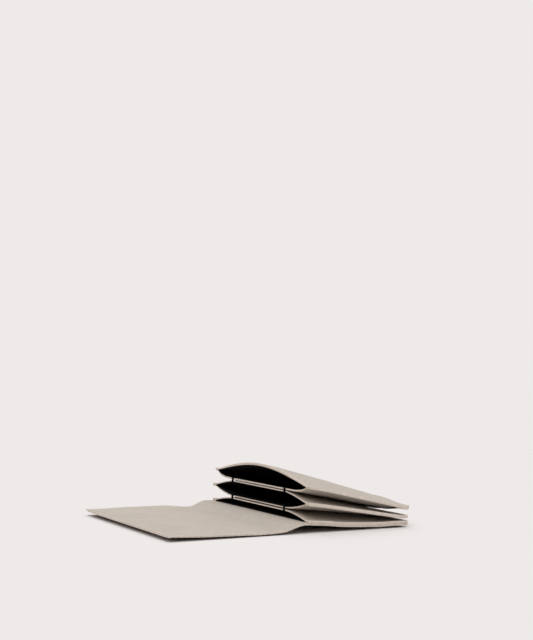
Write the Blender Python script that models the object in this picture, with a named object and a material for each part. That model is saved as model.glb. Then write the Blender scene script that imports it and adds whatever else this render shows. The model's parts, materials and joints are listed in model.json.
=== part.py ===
"""Accordion card holder of thin grained leather, in metres, lying on its back with its flap open.

Three flat pockets lie on one another. Each is two lined leather walls sewn at both sides and at
the heel. Neighbouring pockets are sewn together along two short lines, so the mouths fan open.
X runs from the open flap past the pocket mouths to the heel seams, Y is the width, and Z is up.
The holder is symmetric about Y = 0, the table is at Z = 0, and left is the side at high Y.
"""

import math

import bmesh
import bpy

# Outline
POCKET_WIDTH = 0.099
POCKET_DEPTH = 0.060
SEAM_WIDTH = 0.0038
LIP_LENGTH = 0.002
SPINE_LENGTH = 0.0125
COVER_LENGTH = 0.0606

# Layers, and the gap left between any two of them
LEATHER = 0.00055
FACING = 0.0005
LINING = 0.0002
LAYER_GAP = 0.00015
LINING_INSET = 0.0008

# Lines that sew neighbouring pockets together, and the threads that show where they end
TACK_SPACING = 0.053
JOIN_DEPTH = 0.036
TACK_WIDTH = 0.0007
TACK_DEPTH = 0.0006
TACK_OVERHANG = 0.0003

# Clear heights at the mouths, and how far each outer tip stands above the wall below it
MOUTH_LIFT = 0.0028
REAR_MOUTH = 0.0030
MIDDLE_MOUTH = 0.0072
MIDDLE_TIP_RISE = 0.0037
FRONT_TIP_RISE = 0.0025
ARCH_RISE = 0.0064
DIVIDER_GAP = 0.0003

# Gaps between the flat leaves at the heel
LOWER_HEEL_GAP = 0.0008
UPPER_HEEL_GAP = 0.0029

# How the leather curves
BACK_SAG = 1.65
FLARE = 1.5
REAR_CURL = 1.7
MIDDLE_BACK_CURL = 1.65
MIDDLE_FRONT_CURL = 1.36
FRONT_CURL = 4.0
ARCH_FADE = 0.1
BEND_RUN = 0.012
TIP_LIFT = 0.0012
TIP_RUN = 0.032

# Mesh steps, and how much closer together they are towards the heel
HEEL_CROWDING = 1.5
POCKET_STEPS = 8
GUSSET_STEPS = 4
PANEL_STEPS = 12
FLAP_STEPS = 8

LINED_WALL = LEATHER + LAYER_GAP + LINING
HEEL_X = POCKET_DEPTH - SEAM_WIDTH
SEAM_Y = POCKET_WIDTH / 2 - SEAM_WIDTH
FOLD_Y = TACK_SPACING / 2
SPINE_X = -LIP_LENGTH
COVER_X = SPINE_X - SPINE_LENGTH
TIP_X = COVER_X - COVER_LENGTH
MIDDLE_X = (TIP_X + POCKET_DEPTH) / 2


def make_material(name, colour, roughness):
    """Principled material with one colour and no metal."""
    material = bpy.data.materials.new(name)
    material.use_nodes = True
    shader = material.node_tree.nodes["Principled BSDF"]
    shader.inputs["Base Color"].default_value = (*colour, 1.0)
    shader.inputs["Roughness"].default_value = roughness
    shader.inputs["Metallic"].default_value = 0.0
    return material


def lean(x):
    """1 at the mouths, falling evenly to 0 at the heel seam."""
    return min(1.0, max(0.0, 1.0 - x / HEEL_X))


def flare(x):
    """0 where neighbouring pockets are sewn together, rising to 1 at the heel seam."""
    run = (x - JOIN_DEPTH) / (HEEL_X - JOIN_DEPTH)
    return min(1.0, max(0.0, run)) ** FLARE


def back_under(x):
    """Underside of the back panel, which meets the table at the heel."""
    return MOUTH_LIFT * lean(x) ** BACK_SAG


def flap_under(x):
    """Underside of the flap: an easy bend down from the mouths, flat on the table, then a lifted tip."""
    bend = min(1.0, max(0.0, 1.0 - (SPINE_X - x) / BEND_RUN))
    tip = max(0.0, (TIP_X + TIP_RUN - x) / TIP_RUN)
    return MOUTH_LIFT * bend * bend * (3 - 2 * bend) + TIP_LIFT * tip * tip


def rear_floor(x):
    """Top of the lining on the back panel."""
    return back_under(x) + LEATHER + LAYER_GAP + FACING + LAYER_GAP + LINING


REAR_HEEL_TOP = rear_floor(HEEL_X) + LAYER_GAP + LINED_WALL
MIDDLE_HEEL_TOP = REAR_HEEL_TOP + LOWER_HEEL_GAP + 2 * LINED_WALL + LAYER_GAP
LOWER_HEEL = REAR_HEEL_TOP + LOWER_HEEL_GAP / 2
UPPER_HEEL = MIDDLE_HEEL_TOP + UPPER_HEEL_GAP / 2
LOWER_MOUTH = rear_floor(0.0) + REAR_MOUTH + LINED_WALL + DIVIDER_GAP / 2
UPPER_MOUTH = LOWER_MOUTH + DIVIDER_GAP + 2 * LINED_WALL + MIDDLE_MOUTH


def between_walls(x, heel_gap):
    """Gap between the two walls of a divider."""
    return DIVIDER_GAP + (heel_gap - DIVIDER_GAP) * flare(x)


def rear_ceiling(x):
    """Underside of the lining on the rear pocket's front wall."""
    centre = LOWER_HEEL + (LOWER_MOUTH - LOWER_HEEL) * lean(x)
    return centre - between_walls(x, LOWER_HEEL_GAP) / 2 - LINED_WALL


def middle_floor(x):
    """Top of the lining on the middle pocket's back wall."""
    centre = LOWER_HEEL + (LOWER_MOUTH - LOWER_HEEL) * lean(x)
    return centre + between_walls(x, LOWER_HEEL_GAP) / 2 + LINED_WALL


def middle_ceiling(x):
    """Underside of the lining on the middle pocket's front wall."""
    centre = UPPER_HEEL + (UPPER_MOUTH - UPPER_HEEL) * lean(x)
    return centre - between_walls(x, UPPER_HEEL_GAP) / 2 - LINED_WALL


def front_floor(x):
    """Top of the lining on the front pocket's back wall."""
    centre = UPPER_HEEL + (UPPER_MOUTH - UPPER_HEEL) * lean(x)
    return centre + between_walls(x, UPPER_HEEL_GAP) / 2 + LINED_WALL


def seam_line(floor, rise):
    """Height of a pocket's side seam: a straight line from its raised tip to its heel."""
    heel = floor(HEEL_X) + LAYER_GAP / 2
    mouth = floor(0.0) + LAYER_GAP / 2 + rise
    return lambda x: heel + (mouth - heel) * lean(x)


def rear_seam(x):
    """Height of the rear pocket's side seam, which lies on the back panel."""
    return rear_floor(x) + LAYER_GAP / 2


middle_seam = seam_line(middle_floor, MIDDLE_TIP_RISE)
front_seam = seam_line(front_floor, FRONT_TIP_RISE)


def front_panel_ceiling(x, y):
    """Underside of the front panel's lining, arched between the side seams."""
    across = min(1.0, abs(y) / SEAM_Y)
    arch = math.cos(math.pi / 2 * across) * lean(x) ** ARCH_FADE
    return front_seam(x) + LAYER_GAP / 2 + ARCH_RISE * arch


def gusset(core, seam, side, curl):
    """Inner face of a wall outside the fold line: it curls from the core's height to the seam."""

    def inner(x, y):
        across = min(1.0, max(0.0, (abs(y) - FOLD_Y) / (SEAM_Y - FOLD_Y)))
        return core(x) + (seam(x) + side * LAYER_GAP / 2 - core(x)) * across**curl

    return inner


# What turns about what: each pocket's front wall about that pocket's heel seam, and the flap's
# two sections about their bends. Each entry is the name of the part that carries it, X and Z.
AXES = {
    "holder": (None, 0.0, 0.0),
    "rear_pocket_axis": ("holder", HEEL_X, rear_seam(HEEL_X)),
    "middle_pocket_axis": ("rear_pocket_axis", HEEL_X, middle_seam(HEEL_X)),
    "front_pocket_axis": ("middle_pocket_axis", HEEL_X, front_seam(HEEL_X)),
    "flap_lift_axis": ("holder", SPINE_X, MOUTH_LIFT + LEATHER + LAYER_GAP + FACING),
    "flap_fold_axis": ("flap_lift_axis", COVER_X, LEATHER + LAYER_GAP + FACING),
}


def make_axes():
    """Empties on the axes, chained as the parts carry one another, in the frame centred on the box."""
    made = {}
    for name, (carrier, x, z) in AXES.items():
        empty = bpy.data.objects.new(name, None)
        bpy.context.collection.objects.link(empty)
        if carrier is None:
            empty.location = (x - MIDDLE_X, 0.0, z)
        else:
            empty.parent = made[carrier]
            empty.location = (x - AXES[carrier][1], 0.0, z - AXES[carrier][2])
        made[name] = empty
    return made


def spread(low, high, steps):
    """Even stations from low to high, both included."""
    return [low + (high - low) * step / steps for step in range(steps + 1)]


def pocket_stations():
    """Stations from the mouths to the heel seam, closer together where the arch falls away."""
    left = [(1 - step / POCKET_STEPS) ** HEEL_CROWDING for step in range(POCKET_STEPS + 1)]
    return [HEEL_X * (1 - share) for share in left]


def make_sheet(name, carrier, xs, ys, under, thickness, material):
    """One closed sheet over the stations xs and ys, standing on the surface under(x, y)."""
    _, origin_x, origin_z = AXES[carrier.name]
    shape = bmesh.new()
    rows = [[shape.verts.new((x - origin_x, y, under(x, y) - origin_z)) for y in ys] for x in xs]
    for near, far in zip(rows, rows[1:]):
        for column in range(len(ys) - 1):
            shape.faces.new((near[column], far[column], far[column + 1], near[column + 1]))
    raised = bmesh.ops.extrude_face_region(shape, geom=shape.faces[:])["geom"]
    top = [item for item in raised if isinstance(item, bmesh.types.BMVert)]
    bmesh.ops.translate(shape, verts=top, vec=(0.0, 0.0, thickness))
    bmesh.ops.recalc_face_normals(shape, faces=shape.faces)
    mesh = bpy.data.meshes.new(name)
    shape.to_mesh(mesh)
    shape.free()
    mesh.materials.append(material)
    sheet = bpy.data.objects.new(name, mesh)
    sheet.parent = carrier
    bpy.context.collection.objects.link(sheet)
    return sheet


def inset_ends(stations, inset):
    """The stations with both ends drawn in, for a lining that stops short of the leather's edge."""
    low, high = stations[0] + inset, stations[-1] - inset
    return [low] + [station for station in stations if low < station < high] + [high]


def inset_outer(stations, inset):
    """The stations with only the end far from the middle drawn in."""
    limit = POCKET_WIDTH / 2 - inset
    return [max(-limit, min(limit, station)) for station in stations]


def make_wall(name, carrier, ys, inner, side, leather, lining):
    """A lined wall. Its lining lies on the inner face; side is 1 for a ceiling and -1 for a floor."""
    xs = pocket_stations() + [POCKET_DEPTH]
    if side > 0:
        lining_under, leather_under = 0.0, LINING + LAYER_GAP
    else:
        lining_under, leather_under = -LINING, -LINED_WALL
    make_sheet(name, carrier, xs, ys, lambda x, y: inner(x, y) + leather_under, LEATHER, leather)
    lining_xs = inset_ends(xs, LINING_INSET)
    lining_ys = inset_outer(ys, LINING_INSET)
    make_sheet(
        f"{name}_lining",
        carrier,
        lining_xs,
        lining_ys,
        lambda x, y: inner(x, y) + lining_under,
        LINING,
        lining,
    )


def make_divider_wall(name, gusset_name, carrier, core, seam, side, curl, leather, lining):
    """A wall between two pockets: its flat core between the fold lines and its two gussets."""
    edge = FOLD_Y - LAYER_GAP / 2
    make_wall(name, carrier, spread(-edge, edge, 2), lambda x, y: core(x), side, leather, lining)
    curled = gusset(core, seam, side, curl)
    out = spread(FOLD_Y + LAYER_GAP / 2, SEAM_Y, GUSSET_STEPS) + [POCKET_WIDTH / 2]
    make_wall(f"{gusset_name}_left", carrier, out, curled, side, leather, lining)
    back = [-y for y in reversed(out)]
    make_wall(f"{gusset_name}_right", carrier, back, curled, side, leather, lining)


def make_back(carrier, leather, facing, lining):
    """The back panel: leather outside, a leather facing inside it and the rear pocket's lining."""
    xs = [SPINE_X] + pocket_stations() + [POCKET_DEPTH]
    ys = spread(-POCKET_WIDTH / 2, POCKET_WIDTH / 2, 2)
    over_leather = LEATHER + LAYER_GAP
    over_facing = over_leather + FACING + LAYER_GAP
    make_sheet("back_panel", carrier, xs, ys, lambda x, y: back_under(x), LEATHER, leather)
    make_sheet(
        "back_panel_facing", carrier, xs, ys, lambda x, y: back_under(x) + over_leather, FACING, facing
    )
    make_sheet(
        "back_panel_lining",
        carrier,
        inset_ends(xs[1:], LINING_INSET),
        inset_outer(ys, LINING_INSET),
        lambda x, y: back_under(x) + over_facing,
        LINING,
        lining,
    )


def make_front(carrier, leather, lining):
    """The arched front panel and its lining."""
    ys = [-POCKET_WIDTH / 2] + spread(-SEAM_Y, SEAM_Y, PANEL_STEPS) + [POCKET_WIDTH / 2]
    make_wall("front_panel", carrier, ys, front_panel_ceiling, 1, leather, lining)


def make_flap_section(name, carrier, near, far, far_gap, leather, facing):
    """One section of the flap, from near to far along X: leather outside, facing inside."""
    xs = spread(far + far_gap, near - LAYER_GAP / 2, FLAP_STEPS)
    ys = spread(-POCKET_WIDTH / 2, POCKET_WIDTH / 2, 2)
    over_leather = LEATHER + LAYER_GAP
    make_sheet(name, carrier, xs, ys, lambda x, y: flap_under(x), LEATHER, leather)
    make_sheet(
        f"{name}_facing", carrier, xs, ys, lambda x, y: flap_under(x) + over_leather, FACING, facing
    )


def make_tacks(name, carrier, low, high, thread):
    """The threads at the mouth that pinch a divider's two walls together, one on each fold line."""
    for side_name, side in (("left", 1), ("right", -1)):
        xs = [-LAYER_GAP - TACK_DEPTH, -LAYER_GAP]
        ys = [side * FOLD_Y - TACK_WIDTH / 2, side * FOLD_Y + TACK_WIDTH / 2]
        foot = low - TACK_OVERHANG
        height = high + TACK_OVERHANG - foot
        make_sheet(f"{name}_{side_name}", carrier, xs, ys, lambda x, y: foot, height, thread)


def main():
    for old in list(bpy.data.objects):
        bpy.data.objects.remove(old, do_unlink=True)

    leather = make_material("grained leather", (0.56, 0.50, 0.44), 0.75)
    facing = make_material("leather facing", (0.56, 0.50, 0.44), 0.75)
    lining = make_material("black lining", (0.012, 0.012, 0.012), 0.8)
    thread = make_material("black thread", (0.01, 0.01, 0.01), 0.6)

    axes = make_axes()
    lower = axes["rear_pocket_axis"]
    upper = axes["middle_pocket_axis"]
    make_back(axes["holder"], leather, facing, lining)
    make_divider_wall(
        "rear_pocket_wall", "rear_gusset", lower, rear_ceiling, rear_seam, 1, REAR_CURL,
        leather, lining,
    )
    make_divider_wall(
        "middle_pocket_back_wall", "middle_back_gusset", lower, middle_floor, middle_seam, -1,
        MIDDLE_BACK_CURL, leather, lining,
    )
    make_divider_wall(
        "middle_pocket_front_wall", "middle_front_gusset", upper, middle_ceiling, middle_seam, 1,
        MIDDLE_FRONT_CURL, leather, lining,
    )
    make_divider_wall(
        "front_pocket_back_wall", "front_gusset", upper, front_floor, front_seam, -1, FRONT_CURL,
        leather, lining,
    )
    make_front(axes["front_pocket_axis"], leather, lining)
    make_tacks("lower_tack", lower, rear_ceiling(0.0), middle_floor(0.0), thread)
    make_tacks("upper_tack", upper, middle_ceiling(0.0), front_floor(0.0), thread)
    spine_axis, cover_axis = axes["flap_lift_axis"], axes["flap_fold_axis"]
    make_flap_section("flap_spine", spine_axis, SPINE_X, COVER_X, LAYER_GAP / 2, leather, facing)
    make_flap_section("flap_cover", cover_axis, COVER_X, TIP_X, 0.0, leather, facing)


main()
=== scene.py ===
"""Looks of the accordion card holder: grained leather, painted edges, black lining and thread."""

import json
import math

import bmesh
import bpy
from bpy.props import FloatProperty, FloatVectorProperty, IntProperty, PointerProperty
from mathutils import Matrix, Vector


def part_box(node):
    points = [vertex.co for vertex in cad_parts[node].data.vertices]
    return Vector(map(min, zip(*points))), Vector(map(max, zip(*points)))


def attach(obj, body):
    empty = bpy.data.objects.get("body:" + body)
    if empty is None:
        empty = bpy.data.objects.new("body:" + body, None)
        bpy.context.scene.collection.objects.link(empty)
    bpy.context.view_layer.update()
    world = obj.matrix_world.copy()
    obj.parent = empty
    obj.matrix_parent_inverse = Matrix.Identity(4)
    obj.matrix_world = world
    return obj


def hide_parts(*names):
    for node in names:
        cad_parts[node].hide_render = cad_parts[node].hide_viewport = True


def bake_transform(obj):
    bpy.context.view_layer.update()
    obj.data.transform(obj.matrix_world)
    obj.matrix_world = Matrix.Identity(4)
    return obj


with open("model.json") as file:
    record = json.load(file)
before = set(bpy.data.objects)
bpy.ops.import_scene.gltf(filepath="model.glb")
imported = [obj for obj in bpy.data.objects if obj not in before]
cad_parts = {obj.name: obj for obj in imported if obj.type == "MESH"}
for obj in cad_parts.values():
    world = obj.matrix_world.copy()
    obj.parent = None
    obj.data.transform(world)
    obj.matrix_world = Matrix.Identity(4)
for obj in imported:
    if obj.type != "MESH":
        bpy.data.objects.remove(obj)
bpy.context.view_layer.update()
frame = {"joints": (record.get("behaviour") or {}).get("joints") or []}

bl_info = {
    "name": "Accordion card holder",
    "version": (1, 0, 0),
    "blender": (4, 5, 0),
    "location": "3D View > Sidebar > Card Holder",
    "description": "Dresses the card holder in leather, lining, thread and painted edges",
    "category": "Add Mesh",
}

# Places taken from the frame. X runs from the flap's free edge to the heel, and Y across the mouths.
HINGES = {joint["name"]: Vector(joint["pos_m"]) for joint in frame["joints"]}
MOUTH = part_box("front_panel")[0].x
HEEL_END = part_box("front_panel")[1].x
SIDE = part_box("front_panel")[1].y
HINGE = HINGES["front_pocket"].x
SEAM = SIDE - (HEEL_END - HINGE)
FOLD = (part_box("rear_pocket_wall")[1].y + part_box("rear_gusset_left")[0].y) / 2
FLAP_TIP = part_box("flap_cover")[0].x
SPINE = HINGES["flap_lift"].x
COVER = HINGES["flap_fold"].x
SPINE_MIDDLE = (SPINE + COVER) / 2

# Thickness of a wall and of the whole back or flap. Its leather ends, and its facing starts, at
# these heights over its underside.
WALL = 0.0009
BACK = 0.0012
LEATHER = 0.00061
FACING = 0.00063
# Glue on the facing, under the rear pocket's lining and under its band
LINING_GLUE = 0.00002
BAND_GLUE = 0.00003
# The rear pocket's lining ends this high over the underside of the back.
REAR_FLOOR = 0.00155
# Half of the gap that the solids keep along a seam, where a wall's inner face lies
SEAM_GAP = 0.000075
# A wall's lining, from its inner face, and the inner face of its leather
LINING = (0.00005, 0.00028)
LINED = 0.00030
# How far the leather of a mouth edge is turned in over the end of its lining, and along what run
TURNED_IN = 0.00025
TURN_RUN = 0.0003

# The lines of the solids. A pair holds the heights at the mouths and at the heel hinge.
MOUTH_LIFT = 0.0028
BACK_SAG = 1.65
BEND_RUN = 0.012
TIP_LIFT = 0.0012
TIP_RUN = 0.032
JOIN_END = MOUTH + 0.036
LOWER_CENTRE = (0.0084, 0.0030)
UPPER_CENTRE = (0.0177, 0.0068)
LOWER_GAPS = (0.0003, 0.0008)
UPPER_GAPS = (0.0003, 0.0029)
MIDDLE_SEAM = (0.013225, 0.004375)
FRONT_SEAM = (0.021325, 0.009225)
ARCH_RISE = 0.0064
ARCH_FALL = 0.0020
ARCH_FADE = 0.1

# How soft leather strays from those lines. A hump or a dip is its height, where its middle lies
# along X or Y, and how far it spreads to each side. The shoulder's height is a share of the bow's.
BEND_PUFF = (0.0010, SPINE - 0.0055, 0.0045)
NEAR_PUFF = (0.0004, -0.003, 0.005)
NEAR_SAG = (0.0004, -0.018, 0.013)
SHOULDER = (0.50, 0.020, 0.010)
# The height of each of these is followed by the runs over which it comes and goes, from an end or
# an edge. A place along X where one starts comes before its run.
FAR_LIFT = (0.0013, 0.017, 0.026)
BACK_DIP = (0.00035, 0.018, 0.060, 0.010)
CORNER_DROOP = (0.0004, 0.006, 0.008)
ARCH_LIP = (0.0004, 0.004)
ARCH_DIP = (0.0003, 0.034, 0.008)
HEEL_BOW = (0.0015, 0.017)
HEEL_PUFF = (0.0016, 0.014, 0.016, 0.012)
HEEL_SWELL = (0.0008, 0.0035, 0.0070)
MOUTH_CLOSING = (0.00022, 0.003)
NIP = (0.00018, 0.004)
# How much of the far side's lift is gone at the flap's tip
FAR_LIFT_LOST = 0.9
# These are heights or lengths alone.
BELLY = 0.0002
MOUTH_SAG = 0.0005
PANEL_BODY = 0.0005
NOSE = 0.0016
GROOVE_SPREAD = 0.0003
# The pared edge of the back and flap: its width in full, and how far in its thinnest part reaches
PARED = 0.0070
PARED_EDGE = 0.0002
# The walls of a divider close up this far inside the mouths, over this run, and part again this far
# before the heel hinge: those of the lower divider and of the upper.
CLOSING_FROM = 0.0012
CLOSING_RUN = 0.0035
LOWER_PARTING = 0.001
UPPER_PARTING = 0.0042


def clamp(value):
    return min(1.0, max(0.0, value))


def ease(value):
    """0 to 1 with a soft start and a soft end."""
    value = clamp(value)
    return value * value * (3 - 2 * value)


def hump(place, shape):
    """A soft hump's height at a place along X or Y."""
    height, middle, spread = shape
    return height * math.exp(-(((place - middle) / spread) ** 2))


def lean(x):
    """1 at the mouths and 0 at the heel hinge."""
    return clamp((HINGE - x) / (HINGE - MOUTH))


def between(ends, share):
    """The value at share 1, ends[0], blended to the one at share 0, ends[1]."""
    return ends[1] + (ends[0] - ends[1]) * share


def under_back(x):
    """Underside of the back and of the flap, which are one run of leather."""
    if x >= SPINE:
        depth, start, end, slope = BACK_DIP
        dip = depth * ease((x - start) / slope) * ease((end - x) / slope)
        return MOUTH_LIFT * lean(x) ** BACK_SAG - dip
    bend = ease(1 - (SPINE - x) / BEND_RUN)
    tip = max(0.0, (FLAP_TIP + TIP_RUN - x) / TIP_RUN)
    return MOUTH_LIFT * bend + TIP_LIFT * tip * tip


def lie(x, y):
    """Underside of the back and flap as it lies: its far side lifts and its near side sags."""
    far = 0.5 + 0.5 * y / SIDE
    lift, rise, fall = FAR_LIFT
    cover = ease((COVER - x) / rise) * (1 - FAR_LIFT_LOST * ease((FLAP_TIP + fall - x) / fall))
    lifted = lift * cover + hump(x, BEND_PUFF)
    near = hump(x, NEAR_PUFF) - hump(x, NEAR_SAG)
    droop, run_x, run_y = CORNER_DROOP
    corner = droop * ease((FLAP_TIP + run_x - x) / run_x) * ease((run_y - SIDE - y) / run_y)
    return under_back(x) + far * lifted + (1 - far) * near - corner


def leaf_gap(x, gaps):
    """Gap between the two walls of a divider: sewn shut near the mouths, open at the heel."""
    flare = clamp((x - JOIN_END) / (HINGE - JOIN_END)) ** 1.5
    return gaps[0] + (gaps[1] - gaps[0]) * flare


def pressed(x, gaps):
    """1 where the two walls of a divider lie pressed together, and 0 at the mouths and the heel."""
    parting = HINGE - (LOWER_PARTING if gaps is LOWER_GAPS else UPPER_PARTING)
    closed = ease((x - MOUTH - CLOSING_FROM) / CLOSING_RUN)
    return closed * (1 - ease((x - parting) / (HINGE - parting)))


def turned(x):
    """How far the leather is turned in at a mouth edge."""
    return TURNED_IN * (1 - ease((x - MOUTH) / TURN_RUN))


def rear_ceiling(x):
    return between(LOWER_CENTRE, lean(x)) - leaf_gap(x, LOWER_GAPS) / 2 - WALL


def middle_floor(x):
    return between(LOWER_CENTRE, lean(x)) + leaf_gap(x, LOWER_GAPS) / 2 + WALL


def middle_ceiling(x):
    return between(UPPER_CENTRE, lean(x)) - leaf_gap(x, UPPER_GAPS) / 2 - WALL


def front_floor(x):
    return between(UPPER_CENTRE, lean(x)) + leaf_gap(x, UPPER_GAPS) / 2 + WALL


def rear_seam(x):
    return under_back(x) + REAR_FLOOR + SEAM_GAP


def mouth_sag(x):
    """How far the front pocket's side seams sag near their mouths."""
    return MOUTH_SAG * lean(x) ** 8


def middle_seam(x):
    return between(MIDDLE_SEAM, lean(x)) - 0.6 * mouth_sag(x)


def front_seam(x):
    return between(FRONT_SEAM, lean(x)) - mouth_sag(x)


def crown(y):
    """1 on the middle line, falling to 0 at the side seams."""
    return math.cos(math.pi / 2 * min(1.0, abs(y) / SEAM))


def from_seam(y, run):
    """0 on a side seam, rising to 1 a run further in."""
    return ease((SEAM - abs(y)) / run)


def bowed(y):
    """How far the top of the front pocket's heel bows up between its corners."""
    height, margin = HEEL_BOW
    return height * from_seam(y, margin) * (1 + hump(abs(y), SHOULDER))


def heel_puff(x, y):
    """How far the underside of the front pocket's heel hangs down between its corners."""
    depth, margin, before, slope = HEEL_PUFF
    return depth * from_seam(y, margin) * ease((x - HINGE + before) / slope)


def nose(x, y):
    """How far the two sides of that heel draw together at its rounded end."""
    end = clamp((x - HEEL_END + NOSE) / NOSE)
    return NOSE / 2 * (1 - math.sqrt(1 - 0.98 * end * end)) * from_seam(y, HEEL_BOW[1])


def front_arch(x, y):
    """Inner face of the front panel, arched between its side seams."""
    inside = max(0.0, x - MOUTH)
    rise = ARCH_RISE - ARCH_FALL * inside / (HINGE - MOUTH)
    lip, lip_run = ARCH_LIP
    dip, dip_start, dip_run = ARCH_DIP
    rise = rise - lip * math.exp(-inside / lip_run) - dip * ease((inside - dip_start) / dip_run)
    rise = rise + mouth_sag(x)
    fade = lean(x) ** ARCH_FADE
    return front_seam(x) + SEAM_GAP + rise * fade * crown(y) + bowed(y) * (1 - fade)


class CardHolderSizes(bpy.types.PropertyGroup):
    """Sizes of the leatherwork that a maker would change."""

    edge_round: FloatProperty(
        name="Edge rounding",
        description="Radius of the painted edges",
        default=0.00014,
        min=0.00002,
        max=0.00025,
        unit="LENGTH",
        precision=5,
    )
    corner: FloatProperty(
        name="Corner radius",
        description="Radius of the corners of the flap and of the leaves",
        default=0.0005,
        min=0.0002,
        max=0.0011,
        unit="LENGTH",
        precision=5,
    )
    stitch_inset: FloatProperty(
        name="Stitch inset",
        description="Distance of the stitch line from the edge",
        default=0.0021,
        min=0.0015,
        max=0.0028,
        unit="LENGTH",
        precision=5,
    )
    stitch_length: FloatProperty(
        name="Stitch length",
        description="Length of one stitch that shows",
        default=0.0023,
        min=0.001,
        max=0.004,
        unit="LENGTH",
        precision=5,
    )
    stitch_pitch: FloatProperty(
        name="Stitch pitch",
        description="Distance from one stitch to the next",
        default=0.0029,
        min=0.0015,
        max=0.006,
        unit="LENGTH",
        precision=5,
    )
    thread: FloatProperty(
        name="Thread thickness",
        description="Thickness of the sewing thread",
        default=0.00036,
        min=0.0001,
        max=0.0008,
        unit="LENGTH",
        precision=5,
    )
    groove: FloatProperty(
        name="Stitch groove",
        description="Depth to which the stitches draw the leather in",
        default=0.00018,
        min=0.0,
        max=0.0003,
        unit="LENGTH",
        precision=5,
    )
    paring: FloatProperty(
        name="Paring",
        description="How much thinner the back and the flap are along their edges",
        default=0.0005,
        min=0.0,
        max=0.0008,
        unit="LENGTH",
        precision=5,
    )
    grain: FloatProperty(
        name="Grain size",
        description="Width of one pebble of the leather's grain",
        default=0.00065,
        min=0.0002,
        max=0.003,
        unit="LENGTH",
        precision=5,
    )
    grain_depth: FloatProperty(
        name="Grain depth",
        description="Height of the leather's grain",
        default=0.00009,
        min=0.0,
        max=0.0005,
        unit="LENGTH",
        precision=5,
    )
    tack_turns: IntProperty(
        name="Turns of a tack",
        description="Turns of black thread in each tack at the mouths",
        default=5,
        min=1,
        max=6,
    )


class CardHolderColours(bpy.types.PropertyGroup):
    """Colours of the leatherwork and of the studio."""

    leather: FloatVectorProperty(
        name="Leather",
        description="Colour of the grained leather",
        subtype="COLOR",
        size=3,
        default=(0.53, 0.473, 0.416),
        min=0.0,
        max=1.0,
    )
    edge: FloatVectorProperty(
        name="Edge paint",
        description="Colour of the painted edges",
        subtype="COLOR",
        size=3,
        default=(0.75, 0.655, 0.57),
        min=0.0,
        max=1.0,
    )
    lining: FloatVectorProperty(
        name="Lining",
        description="Colour of the woven lining",
        subtype="COLOR",
        size=3,
        default=(0.010, 0.010, 0.011),
        min=0.0,
        max=1.0,
    )
    seam_thread: FloatVectorProperty(
        name="Seam thread",
        description="Colour of the thread in the seams",
        subtype="COLOR",
        size=3,
        default=(0.50, 0.44, 0.38),
        min=0.0,
        max=1.0,
    )
    tack_thread: FloatVectorProperty(
        name="Tack thread",
        description="Colour of the thread in the tacks",
        subtype="COLOR",
        size=3,
        default=(0.010, 0.010, 0.010),
        min=0.0,
        max=1.0,
    )
    floor: FloatVectorProperty(
        name="Floor",
        description="Colour of the studio floor",
        subtype="COLOR",
        size=3,
        default=(0.757, 0.735, 0.730),
        min=0.0,
        max=1.0,
    )
    backdrop: FloatVectorProperty(
        name="Studio light",
        description="Colour and strength of the light from all round",
        subtype="COLOR",
        size=3,
        default=(0.855, 0.823, 0.815),
        min=0.0,
        max=1.0,
    )


class Value:
    """A shader socket. Sums written on it become Math nodes."""

    def __init__(self, nodes, socket):
        self.nodes = nodes
        self.socket = socket

    def sum(self, operation, first, second):
        return self.nodes.node("ShaderNodeMath", {"operation": operation}, {0: first, 1: second})

    def __add__(self, other):
        return self.sum("ADD", self, other)

    def __sub__(self, other):
        return self.sum("SUBTRACT", self, other)

    def __rsub__(self, other):
        return self.sum("SUBTRACT", other, self)

    def __mul__(self, other):
        return self.sum("MULTIPLY", self, other)

    __radd__ = __add__
    __rmul__ = __mul__


class Nodes:
    """The nodes of a material or of the studio's world."""

    def __init__(self, tree):
        self.tree = tree

    def node(self, kind, settings=None, sockets=None, output=0):
        """A node of that kind: its settings first, then the values or links of its sockets."""
        made = self.tree.nodes.new(kind)
        for key, value in (settings or {}).items():
            if key == "stops":
                ramp = made.color_ramp.elements
                while len(ramp) < len(value):
                    ramp.new(0.5)
                for stop, (place, level) in zip(ramp, value):
                    stop.position = place
                    stop.color = (level, level, level, 1.0)
            else:
                setattr(made, key, value)
        for key, value in (sockets or {}).items():
            self.feed(made.inputs[key], value)
        return Value(self, made.outputs[output])

    def feed(self, socket, value):
        if isinstance(value, Value):
            self.tree.links.new(value.socket, socket)
        elif isinstance(value, tuple) and len(value) == 3 and socket.type == "RGBA":
            socket.default_value = (*value, 1.0)
        else:
            socket.default_value = value


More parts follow.
